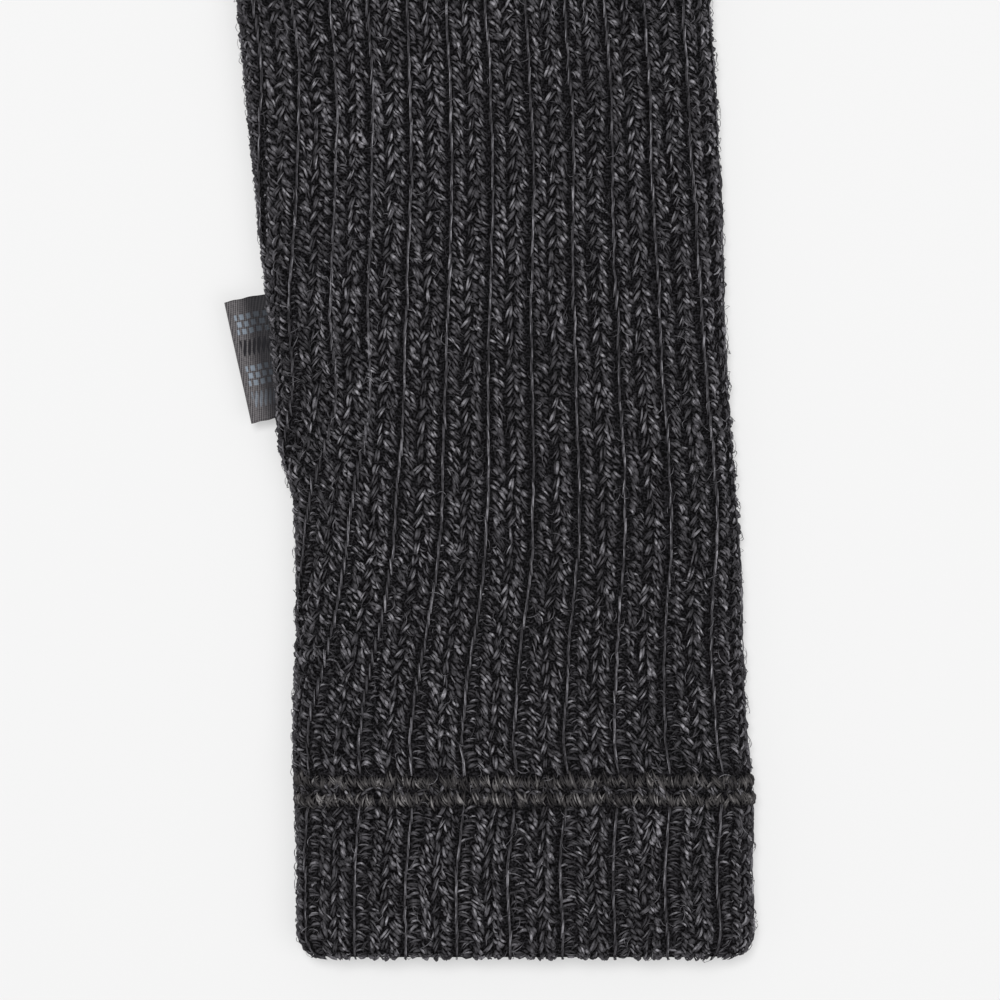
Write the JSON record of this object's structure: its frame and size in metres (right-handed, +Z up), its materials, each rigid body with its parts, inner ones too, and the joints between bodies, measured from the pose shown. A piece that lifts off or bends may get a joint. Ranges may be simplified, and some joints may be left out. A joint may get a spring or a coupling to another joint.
{
  "type": "fingerless glove",
  "caption": "Long fingerless glove in chunky ribbed knit, laid flat, with turned hems, a thumb opening in the side seam and a folded ribbon label that hinges at the seam.",
  "frame": {"origin": "middle of the glove's box on the surface it lies on", "axes": "+Y from the wrist hem to the fingers, +X away from the side seam and label, +Z up from the surface that the glove lies on"},
  "size_m": [0.096, 0.25, 0.0126],
  "materials": {
    "wool_knit": "charcoal heather wool in a two by one rib, matt",
    "sewing_thread": "dark brown-grey wool sewing thread, matt",
    "label_ribbon": "woven satin ribbon, soft sheen"
  },
  "bodies": {
    "glove": {"knit_panel": "wool_knit", "wrist_hem": "wool_knit", "finger_hem": "wool_knit", "side_seam_lower": "sewing_thread", "side_seam_upper": "sewing_thread", "seam_allowance_lower": "wool_knit", "seam_allowance_upper": "wool_knit", "thumb_edge": "wool_knit", "thumb_tack_lower": "sewing_thread", "thumb_tack_upper": "sewing_thread", "wrist_stitch_lower": "sewing_thread", "wrist_stitch_upper": "sewing_thread", "finger_stitch_lower": "sewing_thread", "finger_stitch_upper": "sewing_thread", "label_tails": "label_ribbon"},
    "label": {"label_loop": "label_ribbon"}
  },
  "joints": [
    {"name": "label_fold", "type": "hinge", "parent": "glove", "child": "label", "pos_m": [-0.03808, -0.0185, 0.0054], "axis": [-0.1162, 0.9932, 0], "range_deg": [-45, 85], "stiffness_Nm_per_rad": 0.0001}
  ]
}
